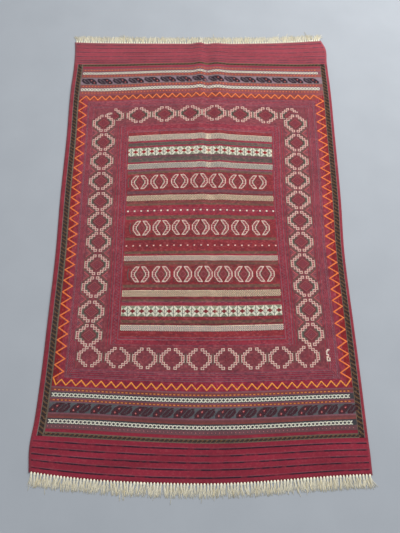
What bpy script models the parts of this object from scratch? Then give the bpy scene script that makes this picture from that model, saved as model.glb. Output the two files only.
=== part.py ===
"""Soumak rug: one flat woven cloth lying on a floor, with a warp fringe at each end.

The rug lies face up with its length along Y. The near end is at low Y and the far end at high Y.
A point of the cloth is named by its loom place: s runs across from -1 at the left selvedge to
+1 at the right one, and v runs along the middle warp in metres from the near end.
Units are metres, +Z is up, and the floor is at Z = 0.
"""
import math
import random

import bmesh
import bpy
import numpy as np

# Driving sizes of the cloth
CLOTH_LENGTH = 1.928
CLOTH_THICKNESS = 0.003
SELVEDGE_WIDTH = 0.010
SELVEDGE_RISE = 0.0012

# Where the warps and wefts really lie, one row for each place along the length. left and right are
# the selvedges' X, and left_field and right_field the X of the warps that frame the field. Each lead
# says how far the weft there is ahead of its middle, towards the far end.
OUTLINE_COLUMNS = (
    "v", "left", "left_field", "right_field", "right",
    "left_lead", "left_field_lead", "right_field_lead", "right_lead",
)
OUTLINE = (
    (0.000, -0.593, -0.306, 0.325, 0.607, 0.034, 0.007, 0.016, 0.033),
    (0.085, -0.601, -0.306, 0.325, 0.606, 0.026, 0.008, 0.013, 0.024),
    (0.184, -0.594, -0.306, 0.325, 0.604, 0.020, 0.011, 0.011, 0.023),
    (0.320, -0.590, -0.306, 0.324, 0.602, 0.018, 0.007, 0.009, 0.019),
    (0.530, -0.589, -0.306, 0.323, 0.597, 0.004, 0.001, 0.009, 0.014),
    (0.870, -0.590, -0.309, 0.314, 0.590, -0.009, -0.006, 0.001, -0.001),
    (1.080, -0.597, -0.313, 0.310, 0.598, -0.014, -0.010, -0.004, -0.006),
    (1.420, -0.602, -0.323, 0.317, 0.602, -0.026, -0.017, -0.014, -0.016),
    (1.680, -0.609, -0.327, 0.318, 0.604, -0.024, -0.013, -0.004, -0.005),
    (1.820, -0.608, -0.328, 0.318, 0.600, -0.013, -0.008, -0.003, -0.005),
    (1.900, -0.613, -0.329, 0.317, 0.598, 0.000, -0.003, 0.001, 0.012),
    (1.928, -0.617, -0.330, 0.314, 0.582, 0.003, -0.001, 0.005, 0.023),
)
FIELD_EDGE = 0.525

# The lengthwise crease where the rug was kept folded: a valley on the floor between two soft
# shoulders, which stand higher towards the far end
CREASE_COLUMNS = ("v", "s", "left_height", "right_height")
CREASE = (
    (0.00, 0.127, 0.0035, 0.0035),
    (0.50, 0.100, 0.0035, 0.0030),
    (1.00, 0.080, 0.0045, 0.0045),
    (1.40, 0.062, 0.0065, 0.0060),
    (1.80, 0.052, 0.0090, 0.0070),
    (1.93, 0.050, 0.0090, 0.0050),
)
CREASE_LEFT_REACH = 0.034
CREASE_RIGHT_REACH = 0.048

# Places where the cloth stands a little off the floor
SWELL_COLUMNS = ("s", "v", "reach_across", "reach_along", "height")
SWELLS = (
    (-0.04, 0.13, 0.030, 0.120, 0.0030),
    (0.86, 0.07, 0.070, 0.030, 0.0050),
    (-0.90, 1.62, 0.050, 0.110, 0.0045),
    (0.92, 1.84, 0.050, 0.060, 0.0045),
    (-0.93, 0.62, 0.035, 0.130, 0.0035),
    (0.92, 0.75, 0.035, 0.120, 0.0035),
    (-0.30, 1.70, 0.090, 0.050, 0.0025),
    (0.40, 0.40, 0.110, 0.060, 0.0020),
)
NEAR_END_LIES_FLAT = 0.045
LEAST_LIFT = 0.00005

# Grid of the cloth's solid
ROWS_ALONG = 34
EVEN_COLUMNS = 14
EVEN_REACH = 0.93
CREASE_COLUMN_OFFSETS = (-0.120, -0.085, -0.055, -0.028, 0.0, 0.035, 0.070, 0.110, 0.155)

# Warp fringe: locks of knotted warp ends that leave a narrow end band
LOCKS_PER_END = 103
BAND_GAP = 0.0003
BAND_DEPTH = 0.004
BAND_THICKNESS = 0.0026
LOCK_FILL_AT_ROOT = 0.42
LOCK_THICKNESS = 0.0028
LOCK_TIP_THICKNESS = 0.0016
LOCK_TIP_SPREAD = 1.25
LOCK_LENGTH_NEAR = 0.042
LOCK_LENGTH_FAR = 0.040
LOCK_LENGTH_SPREAD = 0.005
LOCK_KNEE = 0.45
LEAN_OUTWARDS = 0.12
LEAN_WAVE = 0.10
WAVES_ALONG_END = 5.5
EDGE_LOCK_INSET = 0.004
RANDOM_SEED = 7

WOOL_RED = (0.33, 0.035, 0.055, 1.0)
WARP_IVORY = (0.74, 0.66, 0.47, 1.0)


def row_at(table, columns, v):
    """The row of a table at v, by a smooth cubic through its rows, as a dict by column name."""
    rows = np.array(table)
    slopes = np.gradient(rows, rows[:, 0], axis=0)
    i = int(np.clip(np.searchsorted(rows[:, 0], v) - 1, 0, len(rows) - 2))
    step = rows[i + 1, 0] - rows[i, 0]
    t = (v - rows[i, 0]) / step
    value = (
        (2 * t**3 - 3 * t**2 + 1) * rows[i]
        + (t**3 - 2 * t**2 + t) * step * slopes[i]
        + (3 * t**2 - 2 * t**3) * rows[i + 1]
        + (t**3 - t**2) * step * slopes[i + 1]
    )
    return dict(zip(columns, value))


def smooth_step(x):
    """0 below 0, 1 above 1, and an even S between."""
    x = min(1.0, max(0.0, x))
    return x * x * (3 - 2 * x)


def lead_at(s, field_lead, edge_lead):
    """The lead at s: none in the middle, field_lead at the field's edge and edge_lead at the selvedge."""
    cubic = (edge_lead - field_lead / FIELD_EDGE**2) / (1 - FIELD_EDGE)
    square = edge_lead - cubic
    return square * s**2 + cubic * s**3


def floor_place(s, v):
    """X and Y of the loom place (s, v), before the rug is centred."""
    row = row_at(OUTLINE, OUTLINE_COLUMNS, v)
    warps = (-1.0, -FIELD_EDGE, FIELD_EDGE, 1.0)
    x = np.interp(s, warps, (row["left"], row["left_field"], row["right_field"], row["right"]))
    if s > 0:
        return float(x), v + lead_at(s, row["right_field_lead"], row["right_lead"])
    return float(x), v + lead_at(-s, row["left_field_lead"], row["left_lead"])


def lift(s, v):
    """Height of the cloth's underside over the floor.

    Each side of the crease rises as d squared times exp(1 - d squared), which is 0 in the valley and
    1 on the shoulder, where d is the distance from the valley over the shoulder's reach.
    """
    x, _ = floor_place(s, v)
    crease = row_at(CREASE, CREASE_COLUMNS, v)
    crease_x, _ = floor_place(crease["s"], v)
    reach = CREASE_RIGHT_REACH if x > crease_x else CREASE_LEFT_REACH
    shoulder = crease["right_height"] if x > crease_x else crease["left_height"]
    d = (x - crease_x) / reach
    height = shoulder * d * d * math.exp(1 - d * d)
    for row in SWELLS:
        swell = dict(zip(SWELL_COLUMNS, row))
        swell_x, _ = floor_place(swell["s"], v)
        across = (x - swell_x) / swell["reach_across"]
        along = (v - swell["v"]) / swell["reach_along"]
        height += swell["height"] * (1 - smooth_step(math.hypot(across, along) / 2))
    return max(0.0, height * smooth_step(v / NEAR_END_LIES_FLAT) - LEAST_LIFT)


def material(name, colour, roughness):
    """A plain wool or cotton finish."""
    made = bpy.data.materials.new(name)
    made.use_nodes = True
    shader = made.node_tree.nodes["Principled BSDF"]
    shader.inputs["Base Color"].default_value = colour
    shader.inputs["Roughness"].default_value = roughness
    shader.inputs["Metallic"].default_value = 0.0
    return made


def add_object(name, mesh_builder, finish):
    """Puts a finished bmesh into the scene as one named object."""
    bmesh.ops.recalc_face_normals(mesh_builder, faces=mesh_builder.faces)
    mesh = bpy.data.meshes.new(name)
    mesh_builder.to_mesh(mesh)
    mesh_builder.free()
    mesh.materials.append(finish)
    made = bpy.data.objects.new(name, mesh)
    bpy.context.scene.collection.objects.link(made)
    return made


def column_places():
    """The s of each column of the cloth's grid: even ones, closer ones at the crease and the selvedges."""
    half_width = (OUTLINE[0][4] - OUTLINE[0][1]) / 2
    edge = 1 - SELVEDGE_WIDTH / half_width
    crease = np.mean([row[1] for row in CREASE])
    close = [crease + offset for offset in CREASE_COLUMN_OFFSETS]
    even = np.linspace(-EVEN_REACH, EVEN_REACH, EVEN_COLUMNS)
    clear = (even[1] - even[0]) / 2
    kept = [s for s in even if not close[0] - clear < s < close[-1] + clear]
    return sorted([-1.0, -edge, *kept, *close, edge, 1.0])


def build_cloth(finish):
    """The woven cloth: one sheet of even thickness on its folds, with a rounder, thicker selvedge."""
    columns = column_places()
    rows = [CLOTH_LENGTH * j / ROWS_ALONG for j in range(ROWS_ALONG + 1)]
    cloth = bmesh.new()
    under = []
    over = []
    for v in rows:
        under_row = []
        over_row = []
        for i, s in enumerate(columns):
            x, y = floor_place(s, v)
            z = lift(s, v)
            at_selvedge = i in (0, 1, len(columns) - 2, len(columns) - 1)
            rise = SELVEDGE_RISE if at_selvedge else 0.0
            under_row.append(cloth.verts.new((x, y, z)))
            over_row.append(cloth.verts.new((x, y, z + CLOTH_THICKNESS + rise)))
        under.append(under_row)
        over.append(over_row)
    last_row = len(rows) - 1
    last_column = len(columns) - 1
    for j in range(last_row):
        for i in range(last_column):
            cloth.faces.new((under[j][i], under[j + 1][i], under[j + 1][i + 1], under[j][i + 1]))
            cloth.faces.new((over[j][i], over[j][i + 1], over[j + 1][i + 1], over[j + 1][i]))
        for i in (0, last_column):
            cloth.faces.new((under[j][i], over[j][i], over[j + 1][i], under[j + 1][i]))
    for i in range(last_column):
        for j in (0, last_row):
            cloth.faces.new((under[j][i], under[j][i + 1], over[j][i + 1], over[j][i]))
    return add_object("rug_cloth", cloth, finish)


def lock_section(mesh_builder, centre, width, thickness):
    """Four corners across a lock, whose underside is at centre: left low, right low, right high, left high."""
    x, y, z = centre
    corners = ((-0.5, 0.0), (0.5, 0.0), (0.5, 1.0), (-0.5, 1.0))
    return [mesh_builder.verts.new((x + width * a, y, z + thickness * up)) for a, up in corners]


def build_fringe(name, v_end, outwards, lock_length, finish, seed):
    """An end band that follows the cloth's end, with locks that leave its outer face and lie on the floor.

    outwards is -1 at the near end and +1 at the far end.
    """
    draw = random.Random(seed)
    half_width = (OUTLINE[0][4] - OUTLINE[0][1]) / 2
    first = -1 + EDGE_LOCK_INSET / half_width
    pitch = -2 * first / LOCKS_PER_END
    fill = LOCK_FILL_AT_ROOT * pitch
    stations = [first]
    for k in range(LOCKS_PER_END):
        middle = first + (k + 0.5) * pitch
        stations += [middle - fill / 2, middle + fill / 2]
    stations.append(-first)

    fringe = bmesh.new()
    band = []
    for s in stations:
        x, y = floor_place(s, v_end)
        inner = y + outwards * BAND_GAP
        outer = inner + outwards * BAND_DEPTH
        low = lift(s, v_end)
        high = low + BAND_THICKNESS
        corners = ((x, inner, low), (x, inner, high), (x, outer, high), (x, outer, low))
        band.append([fringe.verts.new(corner) for corner in corners])
    for k in range(len(stations) - 1):
        a, b = band[k], band[k + 1]
        fringe.faces.new((a[0], b[0], b[1], a[1]))
        fringe.faces.new((a[1], b[1], b[2], a[2]))
        fringe.faces.new((a[3], a[0], b[0], b[3]))
        is_lock = k % 2 == 1
        if not is_lock:
            fringe.faces.new((a[2], b[2], b[3], a[3]))
            continue
        middle_s = (stations[k] + stations[k + 1]) / 2
        root_x, root_y = floor_place(middle_s, v_end)
        root_y += outwards * (BAND_GAP + BAND_DEPTH)
        length = lock_length + draw.uniform(-1, 1) * LOCK_LENGTH_SPREAD
        lean = LEAN_OUTWARDS * middle_s + LEAN_WAVE * math.sin(WAVES_ALONG_END * math.pi * middle_s + seed)
        root_width = fill * half_width
        previous = [a[3], b[3], b[2], a[2]]
        for share, width, thickness in (
            (LOCK_KNEE, root_width, LOCK_THICKNESS),
            (1.0, root_width * LOCK_TIP_SPREAD, LOCK_TIP_THICKNESS),
        ):
            low = lift(middle_s, v_end) * (1 - share) ** 2
            centre = (root_x + length * share * lean, root_y + outwards * length * share, low)
            section = lock_section(fringe, centre, width, thickness)
            for i in range(4):
                j = (i + 1) % 4
                fringe.faces.new((previous[i], previous[j], section[j], section[i]))
            previous = section
        fringe.faces.new(previous)
    for end in (band[0], band[-1]):
        fringe.faces.new(end)
    return add_object(name, fringe, finish)


def centre_on_origin(objects):
    """Moves the meshes so that the middle of the rug's floor box is the origin."""
    points = np.array([corner.co for made in objects for corner in made.data.vertices])
    middle = (points.min(axis=0) + points.max(axis=0)) / 2
    for made in objects:
        for corner in made.data.vertices:
            corner.co.x -= middle[0]
            corner.co.y -= middle[1]


def main():
    for old in list(bpy.data.objects):
        bpy.data.objects.remove(old)
    wool = material("red_wool", WOOL_RED, 0.9)
    warp = material("ivory_warp", WARP_IVORY, 0.85)
    made = [
        build_cloth(wool),
        build_fringe("fringe_near", 0.0, -1, LOCK_LENGTH_NEAR, warp, RANDOM_SEED),
        build_fringe("fringe_far", CLOTH_LENGTH, 1, LOCK_LENGTH_FAR, warp, RANDOM_SEED + 1),
    ]
    centre_on_origin(made)


main()
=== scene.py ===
"""Soumak rug on a pale floor: the woven ground, the wrapped wool motifs and the warp fringe.

A place on the rug is named by its loom coordinates in metres: u runs across from the middle warp,
-0.6 at the left selvedge and +0.6 at the right one, and v runs along it from the near end.
"""
import math
from functools import reduce

import bpy
import numpy as np
from mathutils import Matrix, Vector


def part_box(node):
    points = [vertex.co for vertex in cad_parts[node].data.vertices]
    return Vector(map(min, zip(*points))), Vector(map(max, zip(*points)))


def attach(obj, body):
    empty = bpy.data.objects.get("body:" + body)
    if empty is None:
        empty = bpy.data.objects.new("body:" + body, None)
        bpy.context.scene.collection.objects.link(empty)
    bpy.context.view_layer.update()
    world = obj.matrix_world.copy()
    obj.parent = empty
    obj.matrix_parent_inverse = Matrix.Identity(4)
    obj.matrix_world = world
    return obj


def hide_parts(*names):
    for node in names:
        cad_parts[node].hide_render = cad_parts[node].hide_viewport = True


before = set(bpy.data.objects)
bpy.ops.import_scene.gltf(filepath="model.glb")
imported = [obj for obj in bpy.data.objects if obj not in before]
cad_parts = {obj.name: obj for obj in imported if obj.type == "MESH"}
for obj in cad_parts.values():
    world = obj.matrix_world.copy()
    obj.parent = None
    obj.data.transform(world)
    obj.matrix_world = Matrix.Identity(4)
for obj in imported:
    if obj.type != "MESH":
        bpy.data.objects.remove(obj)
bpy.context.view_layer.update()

draw = np.random.default_rng(11)

# Sizes shared with the rug's solids
HALF_WIDTH = 0.6
CLOTH_LENGTH = 1.928
CLOTH_THICKNESS = 0.003
SELVEDGE_WIDTH = 0.010
SELVEDGE_RISE = 0.0012
# v, then the left selvedge, the two warps that frame the field and the right selvedge in X, then
# how far the weft leads its middle at each of them
OUTLINE = np.array((
    (0.000, -0.593, -0.306, 0.325, 0.607, 0.034, 0.007, 0.016, 0.033),
    (0.085, -0.601, -0.306, 0.325, 0.606, 0.026, 0.008, 0.013, 0.024),
    (0.184, -0.594, -0.306, 0.325, 0.604, 0.020, 0.011, 0.011, 0.023),
    (0.320, -0.590, -0.306, 0.324, 0.602, 0.018, 0.007, 0.009, 0.019),
    (0.530, -0.589, -0.306, 0.323, 0.597, 0.004, 0.001, 0.009, 0.014),
    (0.870, -0.590, -0.309, 0.314, 0.590, -0.009, -0.006, 0.001, -0.001),
    (1.080, -0.597, -0.313, 0.310, 0.598, -0.014, -0.010, -0.004, -0.006),
    (1.420, -0.602, -0.323, 0.317, 0.602, -0.026, -0.017, -0.014, -0.016),
    (1.680, -0.609, -0.327, 0.318, 0.604, -0.024, -0.013, -0.004, -0.005),
    (1.820, -0.608, -0.328, 0.318, 0.600, -0.013, -0.008, -0.003, -0.005),
    (1.900, -0.613, -0.329, 0.317, 0.598, 0.000, -0.003, 0.001, 0.012),
    (1.928, -0.617, -0.330, 0.314, 0.582, 0.003, -0.001, 0.005, 0.023),
))
FIELD_EDGE = 0.525
# The lengthwise crease: v, its place across, and the heights of its left and right shoulders
CREASE = np.array((
    (0.00, 0.127, 0.0035, 0.0035),
    (0.50, 0.100, 0.0035, 0.0030),
    (1.00, 0.080, 0.0045, 0.0045),
    (1.40, 0.062, 0.0065, 0.0060),
    (1.80, 0.052, 0.0090, 0.0070),
    (1.93, 0.050, 0.0090, 0.0050),
))
CREASE_LEFT_REACH = 0.034
CREASE_RIGHT_REACH = 0.048
# Where the cloth stands off the floor: place across, v, reach across, reach along, height
SWELLS = (
    (-0.04, 0.13, 0.030, 0.120, 0.0030),
    (0.86, 0.07, 0.070, 0.030, 0.0050),
    (-0.90, 1.62, 0.050, 0.110, 0.0045),
    (0.92, 1.84, 0.050, 0.060, 0.0045),
    (-0.93, 0.62, 0.035, 0.130, 0.0035),
    (0.92, 0.75, 0.035, 0.120, 0.0035),
    (-0.30, 1.70, 0.090, 0.050, 0.0025),
    (0.40, 0.40, 0.110, 0.060, 0.0020),
)
NEAR_END_LIES_FLAT = 0.045
LEAST_LIFT = 0.00005
CLOTH_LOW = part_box("rug_cloth")[0]
SHIFT_X = CLOTH_LOW[0] + 0.617
SHIFT_Y = CLOTH_LOW[1]

# Yarns, as the eye sees them in even light (sRGB, 0 to 255)
YARNS = {
    "crimson": (146, 38, 58), "madder": (150, 42, 58), "crimson_far": (156, 58, 72),
    "magenta": (150, 50, 66), "stripe": (48, 20, 38), "stripe_far": (84, 44, 58),
    "lilac": (132, 84, 94), "mauve": (126, 80, 92), "mauve_band": (140, 116, 128),
    "grey": (122, 108, 104), "grey_green": (108, 98, 84), "green": (84, 92, 78),
    "dark_green": (52, 58, 46), "olive": (112, 82, 68), "moss": (88, 82, 74),
    "drab": (114, 80, 48), "ring_ground": (132, 62, 70), "brown": (128, 74, 66),
    "brown_mauve": (112, 74, 80), "maroon": (124, 46, 52), "dark_red": (104, 26, 34),
    "wine": (66, 6, 30), "plum": (40, 6, 28), "dusk": (116, 64, 66),
    "red": (140, 46, 52), "rust_far": (146, 74, 70), "red_brown": (130, 66, 62),
    "black": (44, 20, 16), "slate": (88, 92, 96), "slate_green": (92, 94, 84),
    "teal": (62, 64, 68), "ivory": (238, 216, 200), "beige": (240, 222, 190),
    "white": (240, 236, 218), "pink": (236, 172, 166), "rose": (186, 104, 106),
    "orange": (240, 126, 62), "yellow": (240, 152, 60), "zig_ground": (140, 28, 32),
    "zig_ground_far": (146, 62, 50), "cream": (250, 242, 218), "pale_green": (200, 204, 172),
    "flint": (84, 84, 80), "brick": (168, 22, 26), "sand": (206, 178, 148),
    "tan": (112, 66, 48), "ash": (86, 84, 84), "pearl": (238, 222, 208),
}


def runs_of(words):
    """A table of runs from words: the v, or the share of the border, where each one ends, and its yarn."""
    words = words.split()
    return tuple(zip(map(float, words[::2]), words[1::2]))


# The ground's runs, and the dark lines of its plain ends
NEAR_STRIPES = (0.0200, 0.0454, 0.0676, 0.0900, 0.1128)
FAR_STRIPES = (1.8205, 1.8330, 1.8515, 1.8737, 1.896, 1.914)
FAR_FINE_LINES = (1.8140, 1.8265, 1.8420, 1.8620, 1.8850, 1.9050, 1.9215)
NEAR_END = runs_of("""
    0.1307 crimson  0.1340 grey_green  0.1426 drab  0.1460 grey_green  0.1557 crimson  0.1572 maroon
    0.1735 brown_mauve  0.1940 teal  0.1997 red_brown  0.2080 dusk  0.2128 lilac  0.2497 slate
    0.2533 lilac  0.2616 red_brown  0.2665 mauve  0.2865 teal  0.2900 mauve  0.3010 red_brown
    0.3072 lilac
""")
FAR_END = runs_of("""
    1.6425 mauve  1.6446 crimson_far  1.6610 rust_far  1.6626 grey  1.6790 mauve  1.6807 grey
    1.6960 rust_far  1.7000 grey  1.7334 mauve_band  1.7376 grey  1.7530 rust_far  1.7540 grey
    1.7710 mauve  1.7830 rust_far  1.7860 mauve  1.7985 crimson  1.8005 grey_green  1.8080 drab
    1.8110 grey_green  1.9280 crimson_far
""")
INNER_FRAMES = runs_of("""
    0.020 madder  0.040 lilac  0.060 madder  0.126 magenta  0.140 madder  0.158 lilac  0.180 madder
    0.196 brown_mauve  0.215 madder  0.658 ring_ground
""")
SIDE_BORDER = INNER_FRAMES + runs_of("""
    0.672 madder  0.682 brown_mauve  0.692 madder  0.707 lilac  0.720 madder  0.790 magenta  0.806 mauve
    0.818 madder  0.836 lilac  0.848 madder  0.915 magenta  1.000 zig_ground  1.050 grey_green
    1.250 black  1.300 grey  1.500 madder
""")
END_LINES = INNER_FRAMES + runs_of("""
    0.668 madder  0.682 mauve  0.696 madder  0.710 lilac  0.724 madder  0.738 mauve  0.752 madder
    0.766 lilac  0.780 madder  0.794 mauve  0.808 madder  0.822 lilac  0.848 madder
""")
NEAR_BORDER = INNER_FRAMES + tuple(
    (end, "crimson" if yarn == "madder" else yarn) for end, yarn in END_LINES[len(INNER_FRAMES):]
) + ((1.000, "crimson"), (1.500, "lilac"))
FAR_BORDER = END_LINES + ((1.000, "zig_ground_far"), (1.500, "lilac"))
FIELD_NEAR = runs_of("""
    0.505 lilac  0.526 red  0.5277 maroon  0.5495 beige  0.5585 maroon  0.569 olive  0.571 maroon
    0.5846 red  0.586 maroon  0.6265 beige  0.641 magenta  0.645 mauve  0.653 olive  0.6654 maroon
    0.690 beige  0.702 maroon  0.713 olive  0.792 red  0.8005 red_brown  0.8075 olive  0.8148 red_brown
    0.8365 beige  0.845 madder  0.856 olive  0.9045 red  0.918 olive  0.995 red
""")
FIELD_FAR = runs_of("""
    0.9998 madder  1.016 olive  1.0265 madder  1.053 magenta  1.064 madder  1.073 olive
    1.0865 red_brown  1.112 beige  1.1206 maroon  1.134 brown_mauve  1.2187 red  1.229 olive
    1.235 mauve  1.2426 magenta  1.2695 beige  1.278 magenta  1.284 slate_green  1.2975 moss
    1.311 brown_mauve  1.350 beige  1.3597 magenta  1.367 slate_green  1.370 maroon  1.377 slate_green
    1.3876 magenta  1.416 beige  1.4332 red  1.44 lilac
""")

# Where the border's frames lie on each side: place in metres, share of the border
LEFT_FRAMES = (
    (0.3156, 0.0), (0.344, 0.126), (0.3665, 0.215), (0.4725, 0.658), (0.4845, 0.705),
    (0.509, 0.806), (0.5145, 0.848), (0.5556, 1.0), (0.562, 1.05), (0.5795, 1.25), (0.5825, 1.3),
    (0.6, 1.5),
)
RIGHT_FRAMES = (
    (0.3156, 0.0), (0.344, 0.126), (0.3665, 0.215), (0.4750, 0.658), (0.4905, 0.705),
    (0.5155, 0.806), (0.5240, 0.848), (0.5655, 1.0), (0.5680, 1.05), (0.5870, 1.25), (0.5895, 1.3),
    (0.6, 1.5),
)
NEAR_FRAMES = (
    (0.503, 0.0), (0.4868, 0.060), (0.4725, 0.158), (0.4670, 0.215), (0.380, 0.658), (0.372, 0.705),
    (0.345, 0.806), (0.336, 0.848), (0.307, 1.0), (0.0, 2.0),
)
FAR_FRAMES = (
    (1.4385, 0.0), (1.448, 0.060), (1.468, 0.140), (1.479, 0.215), (1.566, 0.658), (1.575, 0.705),
    (1.602, 0.806), (1.6110, 0.848), (1.6395, 1.0), (1.928, 2.0),
)
BARBER_NEAR = (0.1340, 0.1426)
BARBER_FAR = (1.8005, 1.8080)

# Grid of the cloth, in cells across and along
CLOTH_COLUMNS = 96
CLOTH_ROWS = 180
PUCKER = 0.00010
RIM_TURN = 0.0009

# Wrapped stitches: sizes in metres, then how far they vary, as shares
STITCH_SINK = 0.00012
STITCH_RISE = 0.0010
STITCH_LEAN = 0.16
STITCH_OVERLAP = 1.12
STITCH_RIDGE = 0.27
STITCH_REACH = 0.598
SPREAD_OF_WIDTH = 0.05
SPREAD_OF_RISE = 0.12
SPREAD_OF_SHADE = 0.09
SPREAD_OF_TINT = 0.025

# Letters of the charts
LETTERS = {
    "m": "mauve", "g": "green", "G": "dark_green", "h": "pale_green", "e": "grey_green", "n": "grey",
    "i": "ivory", "w": "white", "p": "pink", "R": "rose", "q": "brick", "D": "madder", "a": "maroon",
    "M": "dark_red", "W": "wine", "V": "plum", "b": "brown", "o": "orange", "y": "yellow",
}

# The warp fringe
LOCKS_PER_END = 103
YARNS_PER_LOCK = 12
EDGE_LOCK_INSET = 0.004
YARN_SIDES = 4
YARN_STATIONS = 6
YARN_RADIUS = 0.00098
LEAST_HEIGHT = 0.0001
KNOT_SIDES = 6
KNOT_START = -0.0045
KNOT_LENGTH = 0.0115
# Each ring of a knot: share of its length, radius and height of its middle
KNOT_RINGS = np.array((
    (0.00, 0.0012, 0.0034),
    (0.25, 0.0028, 0.0036),
    (0.60, 0.0032, 0.0026),
    (1.00, 0.0022, 0.0016),
))

# The stage
EYE_HEIGHT = 1.55
EYE_ALONG = 0.314
LOOK_DOWN = math.radians(72.9)
ROLL = math.radians(-0.4)
FOCAL_PIXELS = 400.5
PICTURE_HEIGHT = 533
FILM_HEIGHT = 36.0
FLOOR_REACH = 6.0
FLOOR_POINTS = 9
FLOOR_DROP = 0.0003
FLOOR_TONES = ((166, 171, 178), (178, 183, 190))
SKY_COLOUR = (0.93, 0.97, 1.0, 1.0)
SKY_STRENGTH = 0.49
# Each soft lamp: place, size, power and colour
LAMPS = {
    "window": ((2.3, 2.6, 2.6), 2.4, 138.0, (1.0, 0.99, 0.97)),
    "ceiling": ((0.3, 0.2, 3.2), 2.8, 22.0, (1.0, 0.99, 0.98)),
}


# Loom to floor

def linear(colour):
    """The linear colour of an sRGB one: the standard curve, (c + 0.055) / 1.055 to the 2.4 above its foot."""
    c = np.array(colour) / 255.0
    return np.where(c <= 0.04045, c / 12.92, ((c + 0.055) / 1.055) ** 2.4)


def row_at(table, v):
    """The columns of a table at v: a cubic through its rows, each row's slope taken from its neighbours."""
    v = np.asarray(v, float)
    slopes = np.gradient(table, table[:, 0], axis=0)
    i = np.clip(np.searchsorted(table[:, 0], v) - 1, 0, len(table) - 2)
    step = (table[i + 1, 0] - table[i, 0])[..., None]
    t = (v[..., None] - table[i, 0][..., None]) / step
    value = (
        (2 * t**3 - 3 * t**2 + 1) * table[i]
        + (t**3 - 2 * t**2 + t) * step * slopes[i]
        + (3 * t**2 - 2 * t**3) * table[i + 1]
        + (t**3 - t**2) * step * slopes[i + 1]
    )
    return np.moveaxis(value, -1, 0)


def smooth_step(x):
    """0 below 0, 1 above 1, and an even S between."""
    x = np.clip(x, 0, 1)
    return x * x * (3 - 2 * x)


def lead_at(t, field_lead, edge_lead):
    """The weft's lead at t, 0 in the middle: a square plus a cube, through the field's and selvedge's leads."""
    cubic = (edge_lead - field_lead / FIELD_EDGE**2) / (1 - FIELD_EDGE)
    return (edge_lead - cubic) * t**2 + cubic * t**3


def floor_place(s, v):
    """X and Y of the place (s, v), s from -1 to 1: straight lines between four warps, plus the weft's lead."""
    s, v = np.broadcast_arrays(np.asarray(s, float), np.asarray(v, float))
    row = row_at(OUTLINE, np.clip(v, 0, CLOTH_LENGTH))
    left, left_field, right_field, right = row[1:5]
    inner = left_field + (right_field - left_field) * (s + FIELD_EDGE) / (2 * FIELD_EDGE)
    outer_right = right_field + (right - right_field) * (s - FIELD_EDGE) / (1 - FIELD_EDGE)
    outer_left = left_field + (left - left_field) * (-s - FIELD_EDGE) / (1 - FIELD_EDGE)
    x = np.where(s > FIELD_EDGE, outer_right, np.where(s < -FIELD_EDGE, outer_left, inner))
    lead = np.where(s > 0, lead_at(s, row[7], row[8]), lead_at(-s, row[6], row[5]))
    return x + SHIFT_X, v + lead + SHIFT_Y


def lift(s, v):
    """Height of the cloth's underside: the crease's shoulders, d squared times exp(1 - d squared), and swells.

    d is the distance from the crease, as a share of the shoulder's reach.
    """
    x, _ = floor_place(s, v)
    _, across, left_height, right_height = row_at(CREASE, v)
    crease_x, _ = floor_place(across, v)
    right = x > crease_x
    d = (x - crease_x) / np.where(right, CREASE_RIGHT_REACH, CREASE_LEFT_REACH)
    height = np.where(right, right_height, left_height) * d * d * np.exp(1 - d * d)
    for swell_s, swell_v, reach_across, reach_along, swell_height in SWELLS:
        swell_x, _ = floor_place(swell_s, v)
        far = np.hypot((x - swell_x) / reach_across, (v - swell_v) / reach_along)
        height = height + swell_height * (1 - smooth_step(far / 2))
    return np.maximum(0.0, height * smooth_step(v / NEAR_END_LIES_FLAT) - LEAST_LIFT)


def on_cloth(u, v):
    """Point on the cloth's face at (u, v): its floor place, and the lift, thickness and selvedge added up."""
    s = u / HALF_WIDTH
    x, y = floor_place(s, v)
    edge = smooth_step((np.abs(u) - (HALF_WIDTH - 1.6 * SELVEDGE_WIDTH)) / SELVEDGE_WIDTH)
    z = lift(s, v) + CLOTH_THICKNESS + SELVEDGE_RISE * edge
    return np.stack([x, y, z], axis=-1)


# Meshes

def add_mesh(name, points, corners, sides, finish, smooth=None):
    """One object from arrays: points, the point at each face corner in turn, and each face's corner count."""
    mesh = bpy.data.meshes.new(name)
    mesh.vertices.add(len(points))
    mesh.vertices.foreach_set("co", np.asarray(points, np.float32).ravel())
    mesh.loops.add(len(corners))
    mesh.loops.foreach_set("vertex_index", np.asarray(corners, np.int32))
    mesh.polygons.add(len(sides))
    starts = np.concatenate([[0], np.cumsum(sides)[:-1]])
    mesh.polygons.foreach_set("loop_start", starts.astype(np.int32))
    if smooth is None:
        smooth = np.ones(len(sides), bool)
    mesh.polygons.foreach_set("use_smooth", smooth)
    mesh.update(calc_edges=True)
    mesh.validate()
    mesh.materials.append(finish)
    made = bpy.data.objects.new(name, mesh)
    bpy.context.scene.collection.objects.link(made)
    return made


def grid_faces(index):
    """The four corners of each cell of a grid of point numbers."""
    corners = [index[:-1, :-1], index[:-1, 1:], index[1:, 1:], index[1:, :-1]]
    return np.stack(corners, -1).reshape(-1, 4)


def tube_faces(stations, sides):
    """The four corners of each face of a tube, between one ring of points and the next."""
    j, k = np.meshgrid(np.arange(stations - 1), np.arange(sides), indexing="ij")
    after = (k + 1) % sides
    near, far = j * sides, (j + 1) * sides
    return np.stack([near + k, far + k, far + after, near + after], -1).reshape(-1, 4)


def colour_points(made, colours):
    """Gives each point of a piece its yarn's colour."""
    layer = made.data.color_attributes.new("yarn", "FLOAT_COLOR", "POINT")
    rgba = np.concatenate([colours, np.ones((len(colours), 1))], axis=1)
    layer.data.foreach_set("color", rgba.astype(np.float32).ravel())


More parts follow.
